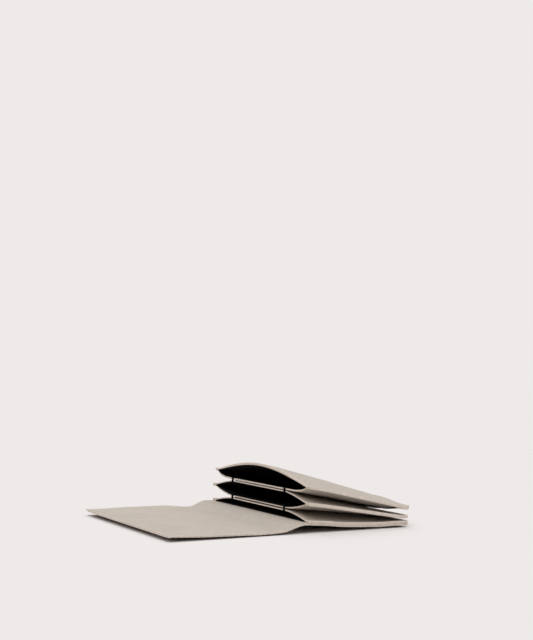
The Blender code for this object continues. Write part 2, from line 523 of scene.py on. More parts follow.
class Finish(Nodes):
    """A procedural material: one Principled shader and the nodes that feed it."""

    def __init__(self, name):
        self.material = bpy.data.materials.new(name)
        self.material.use_nodes = True
        super().__init__(self.material.node_tree)
        self.shader = self.tree.nodes["Principled BSDF"]

    def place(self):
        return self.node("ShaderNodeTexCoord", output="Object")

    def noise(self, size, detail=2.0, roughness=0.5):
        """Soft clouds, from about 0.3 to 0.7, of that size in metres."""
        sockets = {"Vector": self.place(), "Scale": 1 / size, "Detail": detail, "Roughness": roughness}
        return self.node("ShaderNodeTexNoise", {}, sockets)

    def ramp(self, value, *stops):
        return self.node("ShaderNodeValToRGB", {"stops": stops}, {"Fac": value})

    def mix(self, share, first, second):
        """The first colour where share is 0 and the second where it is 1."""
        colours = {0: share, 6: first, 7: second}
        return self.node("ShaderNodeMix", {"data_type": "RGBA"}, colours, output=2)

    def attribute(self, name):
        return self.node("ShaderNodeAttribute", {"attribute_name": name}, output="Fac")

    def finish(self, colour, roughness, height, depth, specular=0.35):
        """Feeds the shader: its colour, its roughness and a bump of that depth in metres."""
        self.feed(self.shader.inputs["Base Color"], colour)
        self.feed(self.shader.inputs["Roughness"], roughness)
        self.shader.inputs["Specular IOR Level"].default_value = specular
        bump = self.node("ShaderNodeBump", {}, {"Height": height, "Distance": depth, "Strength": 1.0})
        self.feed(self.shader.inputs["Normal"], bump)
        return self.material


def tint(colour, factor):
    return tuple(min(1.0, part * factor) for part in colour)


def sizes():
    return bpy.context.scene.card_holder_sizes


def colours():
    return bpy.context.scene.card_holder_colours


def grained_leather(name, colour, grain, depth):
    """Matte leather with a fine pebbled grain, mottled, and rubbed paler along its edges.

    The creases between its pebbles are darkened with painted shade.
    """
    finish = Finish(name)
    pebble_sockets = {"Vector": finish.place(), "Scale": 1 / grain, "Smoothness": 0.6}
    pebble = finish.node("ShaderNodeTexVoronoi", {"feature": "SMOOTH_F1"}, pebble_sockets)
    pores = finish.noise(grain * 0.35, detail=3.0)
    blotches = finish.noise(0.0009, detail=4.0, roughness=0.7)
    clouds = finish.noise(0.020, detail=3.0)
    rubbed = finish.attribute("rubbed")
    shade = finish.ramp(blotches * 0.75 + clouds * 0.25, (0.34, 0.0), (0.66, 1.0))
    body = finish.mix(shade, tint(colour, 0.87), tint(colour, 1.13))
    # Painted shade: the colour is darkened in the creases between the pebbles, where the grain's hollows
    # would lie in shade.
    crease_shade = finish.ramp(pebble, (0.38, 0.0), (0.85, 1.0))
    # The grain's colour with that painted shade in its creases
    grained = finish.mix(crease_shade * 0.42, body, tint(colour, 0.62))
    worn = finish.mix(rubbed * 0.6, grained, tint(colour, 1.24))
    height = (1 - pebble) * 0.7 + pores * 0.3
    roughness = 0.80 - rubbed * 0.10 - shade * 0.06
    return finish.finish(worn, roughness, height, depth, specular=0.30)


def edge_paint(name, colour):
    """Smooth paint on the cut edges, a little uneven where the brush went over it."""
    finish = Finish(name)
    strokes = finish.noise(0.0021, detail=2.0)
    specks = finish.noise(0.0004, detail=2.0)
    shade = finish.ramp(strokes, (0.35, 0.0), (0.65, 1.0))
    body = finish.mix(shade, tint(colour, 0.93), tint(colour, 1.05))
    return finish.finish(body, 0.50 + specks * 0.16, strokes * 0.7 + specks * 0.3, 0.00005)


def woven_lining(name, colour):
    """Thin black cloth in a close plain weave."""
    finish = Finish(name)
    across = {"wave_type": "BANDS", "bands_direction": "X", "wave_profile": "SIN"}
    along = {"wave_type": "BANDS", "bands_direction": "Y", "wave_profile": "SIN"}
    sockets = {"Vector": finish.place(), "Scale": 420.0, "Distortion": 0.6, "Detail": 1.0}
    warp = finish.node("ShaderNodeTexWave", across, sockets)
    weft = finish.node("ShaderNodeTexWave", along, sockets)
    fuzz = finish.noise(0.0012, detail=3.0)
    body = finish.mix(fuzz, tint(colour, 0.75), tint(colour, 1.5))
    return finish.finish(body, 0.86 + fuzz * 0.1, warp * weft + fuzz * 0.2, 0.00004, specular=0.15)


def twisted_thread(name, colour):
    """Twisted sewing thread."""
    finish = Finish(name)
    twist = {"wave_type": "BANDS", "bands_direction": "DIAGONAL", "wave_profile": "SIN"}
    sockets = {"Vector": finish.place(), "Scale": 900.0, "Distortion": 0.4}
    ply = finish.node("ShaderNodeTexWave", twist, sockets)
    fuzz = finish.noise(0.0003)
    body = finish.mix(ply, tint(colour, 0.70), tint(colour, 1.12))
    return finish.finish(body, 0.62 + fuzz * 0.2, ply * 0.8 + fuzz * 0.2, 0.00006, specular=0.35)


def finishes():
    """The finishes, made when a piece first asks for them."""
    names = bpy.data.materials
    if "grained leather" not in names:
        size, colour = sizes(), colours()
        grained_leather("grained leather", tuple(colour.leather), size.grain, size.grain_depth)
        grained_leather("facing leather", tuple(colour.leather), size.grain, size.grain_depth)
        edge_paint("edge paint", tuple(colour.edge))
        woven_lining("black lining", tuple(colour.lining))
        twisted_thread("seam thread", tuple(colour.seam_thread))
        twisted_thread("black thread", tuple(colour.tack_thread))
    return names


# Distances from an edge at which a sheet is divided, closest about the stitch line
RIM = (0.0, 0.0003, 0.0008, 0.0013, 0.00175, 0.0021, 0.00245, 0.0029, 0.0036)
# The same from a wall's mouth edge, and back from the heel hinge for a divider's walls, which end
# just before the seam bands, and for the front panel. A lining starts inside the turned edge.
MOUTH_RIM = (0.0, 0.0003, 0.0008, 0.0015, 0.0025, 0.004)
LINING_START = 0.00035
WALL_RIM = (0.003, 0.0015, 0.00006)
PANEL_RIM = (0.006, 0.0042, 0.003, 0.0021, 0.0014, 0.0009, 0.0005, 0.0002, 0.0)
# Even pitches between those: across the back, along its sewn edges, round its bends, along a wall,
# along a seam, over a flat sheet and across a gusset
BACK_PITCH = 0.0033
EDGE_PITCH = 0.0007
BEND_PITCH = 0.0008
WALL_PITCH = 0.0025
SEAM_PITCH = 0.003
FLAT_PITCH = 0.004
GUSSET_PITCH = 0.0014
# A point is on a cut edge when it lies this near, and leather is rubbed pale this far from one.
TOUCHING = 1e-7
RUBBED = 0.0015
SHARP = math.radians(38)


def rim_steps(end, way):
    """Close steps from an edge inwards, which carry its rounding and its stitch groove."""
    return [end + way * step for step in RIM]


def steps(low, high, pitch):
    """Even steps strictly between low and high, about a pitch apart."""
    count = max(1, round((high - low) / pitch))
    return [low + (high - low) * step / count for step in range(1, count)]


def run(first, pitch, second):
    """A row of steps from the list first to the list second with even steps between them."""
    return first + steps(first[-1], second[0], pitch) + second


def round_corner(x, y, corners, radius):
    """Draws a point near one of the corners in, so that the corner is an arc."""
    for corner_x, way, corner_y in corners:
        a = (way * (x - corner_x) + radius) / radius
        side = 1 if corner_y > 0 else -1
        b = (side * (y - corner_y) + radius) / radius
        if 0 < a <= 1 and 0 < b <= 1:
            new_a = a * math.sqrt(1 - b * b / 2)
            new_b = b * math.sqrt(1 - a * a / 2)
            return corner_x + way * radius * (new_a - 1), corner_y + side * radius * (new_b - 1)
    return x, y


def lay_sheet(xs, ys, under, over, rims=(), corners=(), cut_out=None):
    """A closed sheet over the steps xs and ys, between the surfaces under(x, y) and over(x, y).

    rims names the ends that are cut edges: low_x, high_x, low_y, high_y. They are rounded and get
    the second finish. cut_out(x, y) drops the faces whose middle it is true for, and the sides of
    what it leaves get the third."""
    size = sizes()
    shape = bmesh.new()
    columns, rows = len(xs) - 1, len(ys) - 1
    bmesh.ops.create_grid(shape, x_segments=columns, y_segments=rows, size=1.0)
    for vert in shape.verts:
        column = round((vert.co.x + 1) / 2 * columns)
        row = round((vert.co.y + 1) / 2 * rows)
        vert.co = (xs[column], ys[row], 0.0)
    if cut_out:
        dropped = [face for face in shape.faces if cut_out(*face.calc_center_median().xy)]
        bmesh.ops.delete(shape, geom=dropped, context="FACES")
    raised = bmesh.ops.extrude_face_region(shape, geom=shape.faces[:])["geom"]
    tops = {item for item in raised if isinstance(item, bmesh.types.BMVert)}
    ends = {"low_x": (0, xs[0]), "high_x": (0, xs[-1]), "low_y": (1, ys[0]), "high_y": (1, ys[-1])}
    cut = [ends[name] for name in rims]
    side_faces, joined_faces = set(), set()
    for face in shape.faces:
        if any(vert in tops for vert in face.verts) and any(vert not in tops for vert in face.verts):
            on_rim = any(
                all(abs(vert.co[axis] - end) < TOUCHING for vert in face.verts) for axis, end in cut
            )
            (side_faces if on_rim else joined_faces).add(face)
    for face in side_faces:
        face.material_index = 1
    if cut_out:
        for face in joined_faces:
            face.material_index = 2
    for vert in shape.verts:
        x, y = vert.co.xy
        height = over(x, y) if vert in tops else under(x, y)
        if corners:
            x, y = round_corner(x, y, corners, size.corner)
        vert.co = (x, y, height)
    bmesh.ops.recalc_face_normals(shape, faces=shape.faces[:])
    rim_edges = [
        edge
        for edge in shape.edges
        if sum(face in side_faces for face in edge.link_faces) == 1
        and not any(face in joined_faces for face in edge.link_faces)
    ]
    if rim_edges:
        bmesh.ops.bevel(
            shape,
            geom=rim_edges,
            offset=size.edge_round,
            offset_type="OFFSET",
            segments=3,
            profile=0.5,
            affect="EDGES",
            clamp_overlap=True,
            material=-1,
        )
    rubbed = shape.verts.layers.float.new("rubbed")
    for vert in shape.verts:
        inside = min([abs(vert.co[axis] - end) for axis, end in cut] or [1.0])
        vert[rubbed] = clamp(1 - inside / RUBBED)
    return shape


# How far the far mouth corner of the front pocket is drawn in and up, how far its heel's end leans
# out at its seam, and how much further for each metre above it
DRAWN_IN = 0.0026
DRAWN_UP = 0.0008
HEEL_LEAN = 0.0007
HEEL_SLOPE = 0.4


def draw_in(shape):
    """Draws the far side of the front pocket in at its mouth, where the arch takes up its leather."""
    for vert in shape.verts:
        side = clamp((vert.co.y - FOLD) / (SIDE - FOLD))
        share = side * side * lean(vert.co.x) ** 2
        vert.co.y -= DRAWN_IN * share
        vert.co.z += DRAWN_UP * share


def tilt_heel(shape):
    """Cuts the heel of the front leaf square to the leaf, which slopes."""
    for vert in shape.verts:
        end = clamp((vert.co.x - HINGE) / (HEEL_END - HINGE))
        vert.co.x += end * (HEEL_LEAN + HEEL_SLOPE * (vert.co.z - front_seam(HINGE)))


def place(shape, name, materials, slot, body=None, blend=None):
    """Makes the piece, which rides on a body or, with a blend, rides on none, and gives it its finish."""
    if name.startswith("front_"):
        draw_in(shape)
        tilt_heel(shape)
    mesh = bpy.data.meshes.new(name)
    shape.to_mesh(mesh)
    shape.free()
    mesh.shade_smooth()
    mesh.set_sharp_from_angle(angle=SHARP)
    for material in materials:
        mesh.materials.append(finishes()[material])
    piece = bpy.data.objects.new(name, mesh)
    bpy.context.scene.collection.objects.link(piece)
    if blend:
        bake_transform(piece)
    else:
        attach(piece, body)
    return piece


def groove(x, y):
    """How far the stitch lines draw a leaf's surface in."""
    size = sizes()
    inset = size.stitch_inset
    lines = (HEEL_END - inset - x, SIDE - inset - abs(y), x - FLAP_TIP - inset)
    away = min(abs(line) for line in lines)
    return hump(away, (size.groove, 0.0, GROOVE_SPREAD))


def thinned(x, y):
    """How far the underside of the back and flap rises to the pared edges, or hangs inside them."""
    inside = min(HEEL_END - x, SIDE - abs(y))
    belly = BELLY * ease((x - FLAP_TIP) / PARED)
    return sizes().paring * (1 - clamp((inside - PARED_EDGE) / PARED)) ** 1.5 - belly


def outer_face(x, y):
    """The underside of the back and flap, without the stitches' pull."""
    return lie(x, y) + thinned(x, y)


def inner_face(x, y):
    """The top of their facing, without the stitches' pull."""
    return lie(x, y) + BACK


def nip(x, y):
    """How far the thread draws the lower long edges up at each of its holes."""
    size = sizes()
    end = FLAP_TIP + size.stitch_inset if x < SPINE_MIDDLE else HEEL_END - size.stitch_inset
    length = abs(end - SPINE_MIDDLE)
    spacing = length / max(1, round(length / size.stitch_pitch))
    hole = max(0.0, math.cos(math.tau * (x - SPINE_MIDDLE) / spacing))
    height, margin = NIP
    return height * hole * ease(1 - (SIDE - abs(y)) / margin)


def fold_blend(near, far, joint, before, beyond):
    """A bend from one body to the next, which starts before their joint and ends beyond it."""
    line = HINGES[joint]
    return near, far, (line.x + before, 0.0, line.z), (line.x - beyond, 0.0, line.z)


FLAP_CORNERS = ((FLAP_TIP, -1, -SIDE), (FLAP_TIP, -1, SIDE))
HEEL_CORNERS = ((HEEL_END, 1, -SIDE), (HEEL_END, 1, SIDE))
MOUTH_CORNERS = ((MOUTH, -1, -SIDE), (MOUTH, -1, SIDE))
LIFT_BLEND = fold_blend("back", "flap_spine", "flap_lift", 0.0035, 0.0040)
FOLD_BLEND = fold_blend("flap_spine", "flap_cover", "flap_fold", 0.0040, 0.0040)
# The parts of the back and flap that bend reach this far inside the mouths and beyond the fold.
BEND_INSIDE = 0.004
FOLD_BEYOND = 0.006
# How much of their paring is on the inner side of the glue line
PARED_INSIDE = 0.45


class CARDHOLDER_OT_back_and_flap(bpy.types.Operator):
    """Back and flap: one run of leather with a facing glued inside it"""

    bl_idname = "card_holder.back_and_flap"
    bl_label = "Back and flap"

    def execute(self, context):
        ys = run(rim_steps(-SIDE, 1), BACK_PITCH, rim_steps(SIDE, -1)[::-1])
        bend_xs = run([SPINE_MIDDLE], BEND_PITCH, [MOUTH + BEND_INSIDE])
        back_xs = run(bend_xs, EDGE_PITCH, rim_steps(HEEL_END, -1)[::-1])
        fold_xs = run([COVER - FOLD_BEYOND], BEND_PITCH, [SPINE_MIDDLE])
        flap_xs = run(rim_steps(FLAP_TIP, 1), EDGE_PITCH, fold_xs)

        def glue_line(x, y, height):
            return lie(x, y) + height + thinned(x, y) * PARED_INSIDE

        layers = {
            "leather": (
                "grained leather",
                lambda x, y: outer_face(x, y) + groove(x, y) + nip(x, y),
                lambda x, y: glue_line(x, y, LEATHER),
            ),
            "facing": (
                "facing leather",
                lambda x, y: glue_line(x, y, FACING),
                lambda x, y: inner_face(x, y) - groove(x, y),
            ),
        }
        for layer, (material, under, over) in layers.items():
            dress = (material, "edge paint")
            shape = lay_sheet(back_xs, ys, under, over, ("high_x", "low_y", "high_y"), HEEL_CORNERS)
            piece = place(shape, f"back_{layer}", dress, layer, blend=LIFT_BLEND)
            if layer == "leather":
                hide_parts("back_panel", "flap_spine")
            else:
                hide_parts("back_panel_facing", "flap_spine_facing")
            shape = lay_sheet(flap_xs, ys, under, over, ("low_x", "low_y", "high_y"), FLAP_CORNERS)
            piece = place(shape, f"flap_{layer}", dress, layer, blend=FOLD_BLEND)
            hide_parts("flap_cover" if layer == "leather" else "flap_cover_facing")
        lining = lay_sheet(
            run([MOUTH + MOUTH_RIM[2]], SEAM_PITCH, [HINGE]),
            run([-SEAM], FLAT_PITCH, [SEAM]),
            lambda x, y: under_back(x) + BACK + LINING_GLUE,
            lambda x, y: under_back(x) + REAR_FLOOR,
        )
        piece = place(lining, "back_lining", ("black lining",), "lining", body="back")
        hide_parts("back_panel_lining")
        return {"FINISHED"}


# A wall is skived over this width at its seams. Walls pressed together keep apart by the next, bulge
# by the third at most, and part again over the last, beyond their fold lines.
SKIVED = 0.004
KEPT_APART = 0.00004
BULGE = 0.0018
BESIDE = 0.006


def skive(x, y, depth):
    """How much thinner a wall is where it runs into its seams."""
    return depth * max(ease(1 - (SEAM - abs(y)) / SKIVED), ease(1 - (HINGE - x) / SKIVED))


def filled(x, y, gaps, share):
    """How far a divider's wall bulges to its twin where the two lie pressed together."""
    beside = 1 - ease((abs(y) - FOLD) / BESIDE)
    pull = min(BULGE, (leaf_gap(x, gaps) - KEPT_APART) * share)
    height, slope = MOUTH_CLOSING
    return pull * pressed(x, gaps) * beside - height * (1 - ease((x - MOUTH) / slope))


# Each wall: node, body, inner face, whether its leather lies above that (1) or below it (-1), gaps
# of its divider, its share in closing the gap, and how much thinner it is at its seams
WALLS = (
    ("rear_pocket_wall", "lower_divider", rear_ceiling, 1, LOWER_GAPS, 0.5, 0.0),
    ("middle_pocket_back_wall", "lower_divider", middle_floor, -1, LOWER_GAPS, 0.5, 0.00045),
    ("middle_pocket_front_wall", "upper_divider", middle_ceiling, 1, UPPER_GAPS, 0.12, 0.0),
    ("front_pocket_back_wall", "upper_divider", front_floor, -1, UPPER_GAPS, 0.88, 0.00058),
)
# Each gusset: node, its wall's row, seam, curl, the bodies at its fold line and at its seam, and
# where its bend from the one to the other starts and ends, in widths of the gusset
GUSSETS = (
    ("rear_gusset", 0, rear_seam, 1.7, "lower_divider", "back", 0.0, 1.0),
    ("middle_back_gusset", 1, middle_seam, 1.65, "lower_divider", "upper_divider", 0.0, 2.0),
    ("middle_front_gusset", 2, middle_seam, 1.36, "upper_divider", "lower_divider", 0.0, 2.0),
    ("front_gusset", 3, front_seam, 4.0, "upper_divider", "front", 0.4, 1.457),
)


def from_mouth(last):
    """Steps along X from the mouths to the list last, close at a mouth's turned edge."""
    return run([MOUTH + step for step in MOUTH_RIM], WALL_PITCH, last)


def inside_mouth(xs):
    """The same steps for a lining, which starts inside the turned edge."""
    return [MOUTH + LINING_START] + xs[2:]


def line_wall(name, xs, ys, inner, outside, side, **carried):
    """A wall of leather between two faces, and the lining on its inner one, as two pieces."""

    def inside(x, y):
        return inner(x, y) + side * (LINED - turned(x))

    low, high = (inside, outside) if side > 0 else (outside, inside)
    shape = lay_sheet(xs, ys, low, high, ("low_x",))
    leather = place(shape, f"{name}_leather", ("grained leather", "edge paint"), "leather", **carried)
    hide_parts(name)
    low_shift, high_shift = sorted(side * shift for shift in LINING)
    shape = lay_sheet(
        inside_mouth(xs),
        ys,
        lambda x, y: inner(x, y) + low_shift,
        lambda x, y: inner(x, y) + high_shift,
    )
    lining = place(shape, f"{name}_cloth", ("black lining",), "lining", **carried)
    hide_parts(f"{name}_lining")


def divider_wall(name, ys, inner, row, **carried):
    """A flat wall or a gusset of a divider, with its lining."""
    _, _, _, side, gaps, share, thin = row

    def outside(x, y):
        bulge = filled(x, y, gaps, share)
        if name.startswith("front_"):
            bulge = max(bulge, heel_puff(x, y))
        return inner(x, y) + side * (WALL + bulge - skive(x, y, thin))

    xs = from_mouth([HINGE - step for step in WALL_RIM])
    line_wall(name, xs, ys, inner, outside, side, **carried)


class CARDHOLDER_OT_walls(bpy.types.Operator):
    """Flat walls between the pockets, with their linings"""

    bl_idname = "card_holder.walls"
    bl_label = "Pocket walls"

    def execute(self, context):
        ys = run([-FOLD], FLAT_PITCH, [FOLD])
        for row in WALLS:
            name, body, core = row[:3]
            divider_wall(name, ys, lambda x, y: core(x), row, body=body)
        return {"FINISHED"}


class CARDHOLDER_OT_gussets(bpy.types.Operator):
    """Gussets between the walls and the side seams, with their linings"""

    bl_idname = "card_holder.gussets"
    bl_label = "Gussets"

    def execute(self, context):
        out = run([FOLD], GUSSET_PITCH, [SEAM])
        for name, wall, seam, curl, near, far, bend_start, bend_end in GUSSETS:
            row = WALLS[wall]
            core, side = row[2:4]

            def inner(x, y):
                across = clamp((abs(y) - FOLD) / (SEAM - FOLD))
                return core(x) + (seam(x) + side * SEAM_GAP - core(x)) * across**curl

            for hand, way in (("left", 1), ("right", -1)):
                ys = out if way > 0 else [-y for y in reversed(out)]
                start, end = (
                    (0.0, way * (FOLD + (SEAM - FOLD) * widths), 0.0) for widths in (bend_start, bend_end)
                )
                divider_wall(f"{name}_{hand}", ys, inner, row, blend=(near, far, start, end))
        return {"FINISHED"}


def seam_blend(lower, upper, seam, share, run_up):
    """A bend from the lower to the upper body along the line square to a side seam's plane.

    share is how far along its run the bend is at the seam."""
    slope = (seam[0] - seam[1]) / (HINGE - MOUTH)
    across = Vector((slope, 0.0, 1.0)).normalized() * run_up
    centre = Vector((HINGE, 0.0, seam[1]))
    return lower, upper, tuple(centre - across * share), tuple(centre + across * (1 - share))


# What lies along the middle pocket's side seams is given a blend half way between the two dividers. Along
# the front pocket's the blend lies 0.6 of the way to the front panel, whose arch gives as it is pressed
# shut.
MIDDLE_BLEND = seam_blend("lower_divider", "upper_divider", MIDDLE_SEAM, 0.5, 0.1)
FRONT_BLEND = seam_blend("upper_divider", "front", FRONT_SEAM, 0.5676, 0.1)
PANEL_BLEND = seam_blend("upper_divider", "front", FRONT_SEAM, 0.5676, 0.0247)


class CARDHOLDER_OT_front_panel(bpy.types.Operator):
    """Arched front panel with its lining"""

    bl_idname = "card_holder.front_panel"
    bl_label = "Front panel"

    def execute(self, context):
        xs = from_mouth([HINGE - step for step in PANEL_RIM])
        half = [SEAM - 0.0012, SEAM - 0.0005, SEAM]
        ys = run([-y for y in reversed(half)], WALL_PITCH, half)

        def outside(x, y):
            return front_arch(x, y) + WALL + PANEL_BODY * crown(y)

        line_wall("front_panel", xs, ys, front_arch, outside, 1, blend=PANEL_BLEND)
        return {"FINISHED"}


# How far the middle band's lower leather is skived, how thick the front band's is, and the run
# before the heel hinge over which its folded heel starts
BAND_SKIVED = 0.0003
BAND_LOWER = 0.0004
HEEL_START = 0.0001


# Each band gives the heights of its underside and of its top.
def rear_band(x, y):
    return under_back(x) + BACK + BAND_GLUE, under_back(x) + REAR_FLOOR + 2 * SEAM_GAP + WALL


def middle_band(x, y):
    return middle_seam(x) - SEAM_GAP - WALL + BAND_SKIVED, middle_seam(x) + SEAM_GAP + WALL


def front_band(x, y):
    """It swells along the heel, where the leather is folded round."""
    heel = ease(1 - (HINGE - x) / HEEL_START)
    depth, before, slope = HEEL_SWELL
    low = front_seam(x) - BAND_LOWER - depth * ease((x - HINGE + before) / slope)
    low = low - heel * (heel_puff(x, y) - nose(x, y))
    return low, front_seam(x) + SEAM_GAP + WALL + heel * (bowed(y) - nose(x, y))


BANDS = {
    "rear": (rear_band, {"body": "back"}),
    "middle": (middle_band, {"blend": MIDDLE_BLEND}),
    "front": (front_band, {"blend": FRONT_BLEND}),
}


class CARDHOLDER_OT_seam_bands(bpy.types.Operator):
    """Sewn bands round each pocket, where two walls meet under one painted edge"""

    bl_idname = "card_holder.seam_bands"
    bl_label = "Seam bands"

    def execute(self, context):
        half = [SEAM] + rim_steps(SIDE, -1)[::-1]
        ys = run([-y for y in reversed(half)], FLAT_PITCH, half)
        xs = run(rim_steps(MOUTH, 1), SEAM_PITCH, [HINGE] + rim_steps(HEEL_END, -1)[::-1])
        for name, (band, carried) in BANDS.items():
            # The rear band is glued to the back, so no stitch draws its underside in.
            drawn = 0.0 if band is rear_band else 1.0
            shape = lay_sheet(
                xs,
                ys,
                lambda x, y: band(x, y)[0] + drawn * groove(x, y),
                lambda x, y: band(x, y)[1] - groove(x, y),
                ("low_x", "high_x", "low_y", "high_y"),
                HEEL_CORNERS + MOUTH_CORNERS,
                cut_out=lambda x, y: x < HINGE and abs(y) < SEAM,
            )
            dress = ("grained leather", "edge paint", "black lining")
            place(shape, f"{name}_seam_band", dress, "leather", **carried)
        return {"FINISHED"}


def stitch_line(points):
    """Middles and directions of the stitches along a broken line of X and Y points."""
    size = sizes()
    found = []
    for start, end in zip(points, points[1:]):
        start, end = Vector(start), Vector(end)
        length = (end - start).length
        count = max(1, round(length / size.stitch_pitch))
        for number in range(count):
            middle = start + (end - start) * (number + 0.5) / count
            found.append((middle, (end - start).normalized()))
    return found


# How far a stitch is turned from its line, how much wider it lies than it is thick, and how deep it
# sinks into the leather above and below, in half threads
SLANT = 0.06
SPREAD = 1.15
SUNK_ABOVE = 0.15
SUNK_BELOW = 0.5
# How far inside the mouths a leaf's stitches start, and how far before them the flap's stop
LEAF_START = 0.0008
BEND_STOP = 0.0006
UP = Vector((0.0, 0.0, 1.0))
QUARTER_TURN = math.pi / 2


def sew(stitches, surface, side):
    """Stitches on the surface(x, y), above it for side 1 and below it for side -1."""
    size = sizes()
    shape = bmesh.new()
    half, radius = size.stitch_length / 2, size.thread / 2
    for middle, along in stitches:
        first, last = middle - along * half, middle + along * half
        low = Vector((*first, surface(first.x, first.y)))
        high = Vector((*last, surface(last.x, last.y)))
        forward = (high - low).normalized()
        forward = (forward + UP.cross(forward).normalized() * SLANT).normalized()
        across = UP.cross(forward).normalized()
        upright = forward.cross(across)
        centre = (low + high) / 2 - UP * radius * (SUNK_ABOVE if side > 0 else SUNK_BELOW)
        turn = Matrix((forward, across, upright)).transposed().to_4x4()
        stretch = Matrix.Diagonal((half, radius * SPREAD, radius, 1.0))
        lay = Matrix.Translation(centre) @ turn @ stretch @ Matrix.Rotation(QUARTER_TURN, 4, "Y")
        bmesh.ops.create_uvsphere(shape, u_segments=6, v_segments=5, radius=1.0, matrix=lay)
    bmesh.ops.recalc_face_normals(shape, faces=shape.faces[:])
    return shape


class CARDHOLDER_OT_stitches(bpy.types.Operator):
    """Machine stitches round the leaves and the flap"""

    bl_idname = "card_holder.stitches"
    bl_label = "Stitches"

    def execute(self, context):
        size = sizes()
        pull, inset = size.groove, size.stitch_inset
        side, heel, tip = SIDE - inset, HEEL_END - inset, FLAP_TIP + inset

        def hoop(start, end):
            """A line from a start near one side, round an end, and back near the other side."""
            return stitch_line(((start, side), (end, side), (end, -side), (start, -side)))

        leaf = hoop(MOUTH + LEAF_START, heel)
        back = hoop(SPINE_MIDDLE, heel)
        flap = hoop(SPINE_MIDDLE, tip)
        bend = [
            stitch
            for y in (side, -side)
            for stitch in stitch_line(((SPINE_MIDDLE, y), (MOUTH - BEND_STOP, y)))
        ]

        def top(band):
            return lambda x, y: band(x, y)[1] - pull

        def bottom(band):
            return lambda x, y: band(x, y)[0] + pull

        def over(x, y):
            return inner_face(x, y) - pull

        def under(x, y):
            return outer_face(x, y) + pull

        rows = (
            ("front_stitches_over", leaf, top(front_band), 1, {"blend": FRONT_BLEND}),
            ("front_stitches_under", leaf, bottom(front_band), -1, {"blend": FRONT_BLEND}),
            ("middle_stitches_over", leaf, top(middle_band), 1, {"blend": MIDDLE_BLEND}),
            ("middle_stitches_under", leaf, bottom(middle_band), -1, {"blend": MIDDLE_BLEND}),
            ("rear_stitches_over", leaf, top(rear_band), 1, {"body": "back"}),
            ("back_stitches_under", back, under, -1, {"blend": LIFT_BLEND}),
            ("flap_stitches_under", flap, under, -1, {"blend": FOLD_BLEND}),
            ("flap_stitches_over", flap, over, 1, {"blend": FOLD_BLEND}),
            ("bend_stitches_over", bend, over, 1, {"blend": LIFT_BLEND}),
        )
        for name, line, surface, up, carried in rows:
            place(sew(line, surface, up), name, ("seam thread",), "thread", **carried)
        return {"FINISHED"}


# Thread of the tacks, its turns' pitch in threads, how far they reach into the walls and beyond
# them, and how far inside the mouth they sit. Then the same for the knots at the leaves' tips.
TACK_THREAD = 0.0004
TACK_PITCH = 0.92
TACK_REACH = 0.00122
TACK_OVER = 0.00012
TACK_INSET = 0.0009
KNOT_REACH = 0.0004
KNOT_RISE = 0.00035
KNOT_INSET = 0.0005


def wind_turn(shape, x, y, z, reach, rise):
    """One closed turn of thread round the point, squared off so that it lies flat on the leather."""
    turn = bmesh.new()
    stand = Matrix.Translation((1.0, 0.0, 0.0)) @ Matrix.Rotation(QUARTER_TURN, 4, "X")
    circle = bmesh.ops.create_circle(turn, segments=8, radius=TACK_THREAD / 2, matrix=stand)
    ring = circle["verts"]
    edges = list({edge for vert in ring for edge in vert.link_edges})
    bmesh.ops.spin(
        turn,
        geom=ring + edges,
        cent=(0.0, 0.0, 0.0),
        axis=(0.0, 1.0, 0.0),
        dvec=(0.0, 0.0, 0.0),
        angle=math.tau,
        steps=28,
        use_merge=True,
    )
    for vert in turn.verts:
        angle = math.atan2(vert.co.z, vert.co.x)
        out = math.hypot(vert.co.x, vert.co.z) - 1.0
        cos, sin = math.cos(angle), math.sin(angle)
        squared = (abs(cos) ** 4 + abs(sin) ** 4) ** -0.25
        vert.co = (
            x + cos * (reach * squared + out),
            y + vert.co.y,
            z + sin * (rise * squared + out),
        )
    bmesh.ops.recalc_face_normals(turn, faces=turn.faces[:])
    mesh = bpy.data.meshes.new("turn")
    turn.to_mesh(mesh)
    turn.free()
    shape.from_mesh(mesh)
    bpy.data.meshes.remove(mesh)


class CARDHOLDER_OT_tacks(bpy.types.Operator):
    """Black thread tacks at the mouths"""

    bl_idname = "card_holder.tacks"
    bl_label = "Tacks"

    def execute(self, context):
        size = sizes()
        for name, body, low, high in (
            ("lower_tack", "lower_divider", rear_ceiling(MOUTH), middle_floor(MOUTH)),
            ("upper_tack", "upper_divider", middle_ceiling(MOUTH), front_floor(MOUTH)),
        ):
            for hand, way in (("left", 1), ("right", -1)):
                shape = bmesh.new()
                for turn in range(size.tack_turns):
                    aside = (turn - (size.tack_turns - 1) / 2) * TACK_THREAD * TACK_PITCH
                    middle, rise = (low + high) / 2, (high - low) / 2 + TACK_OVER
                    wind_turn(shape, MOUTH + TACK_INSET, way * FOLD + aside, middle, TACK_REACH, rise)
                piece = place(shape, f"{name}_{hand}_thread", ("black thread",), "thread", body=body)
                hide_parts(f"{name}_{hand}")
        for name in ("front", "middle", "rear"):
            band, carried = BANDS[name]
            shape = bmesh.new()
            for y in (SIDE - size.stitch_inset, size.stitch_inset - SIDE):
                middle = sum(band(MOUTH, y)) / 2
                wind_turn(shape, MOUTH + KNOT_INSET, y, middle, KNOT_REACH, KNOT_RISE)
            place(shape, f"{name}_tip_threads", ("black thread",), "thread", **carried)
        return {"FINISHED"}


# The studio's dome: its colour, its strength low down and overhead, and the heights, as parts of
# straight up, between which it brightens
DOME_COLOUR = (1.0, 0.985, 0.975)
DOME_LOW = 0.05
DOME_HIGH = 0.92
DOME_FROM = 0.15
DOME_TO = 0.75
# Each lamp's strength, its spread, its tilt from straight overhead and its turn, in degrees
LAMPS = (
    ("back light", 0.40, 50.0, -35.0, -25.0),
    ("top light", 0.55, 24.0, 12.0, -25.0),
    ("front light", 0.56, 30.0, 46.0, -54.0),
)
# Soft leather and stitches hang a little under the solids, so the floor lies under those.
FLOOR_DROP = 0.0008
FLOOR_REACH = 60.0
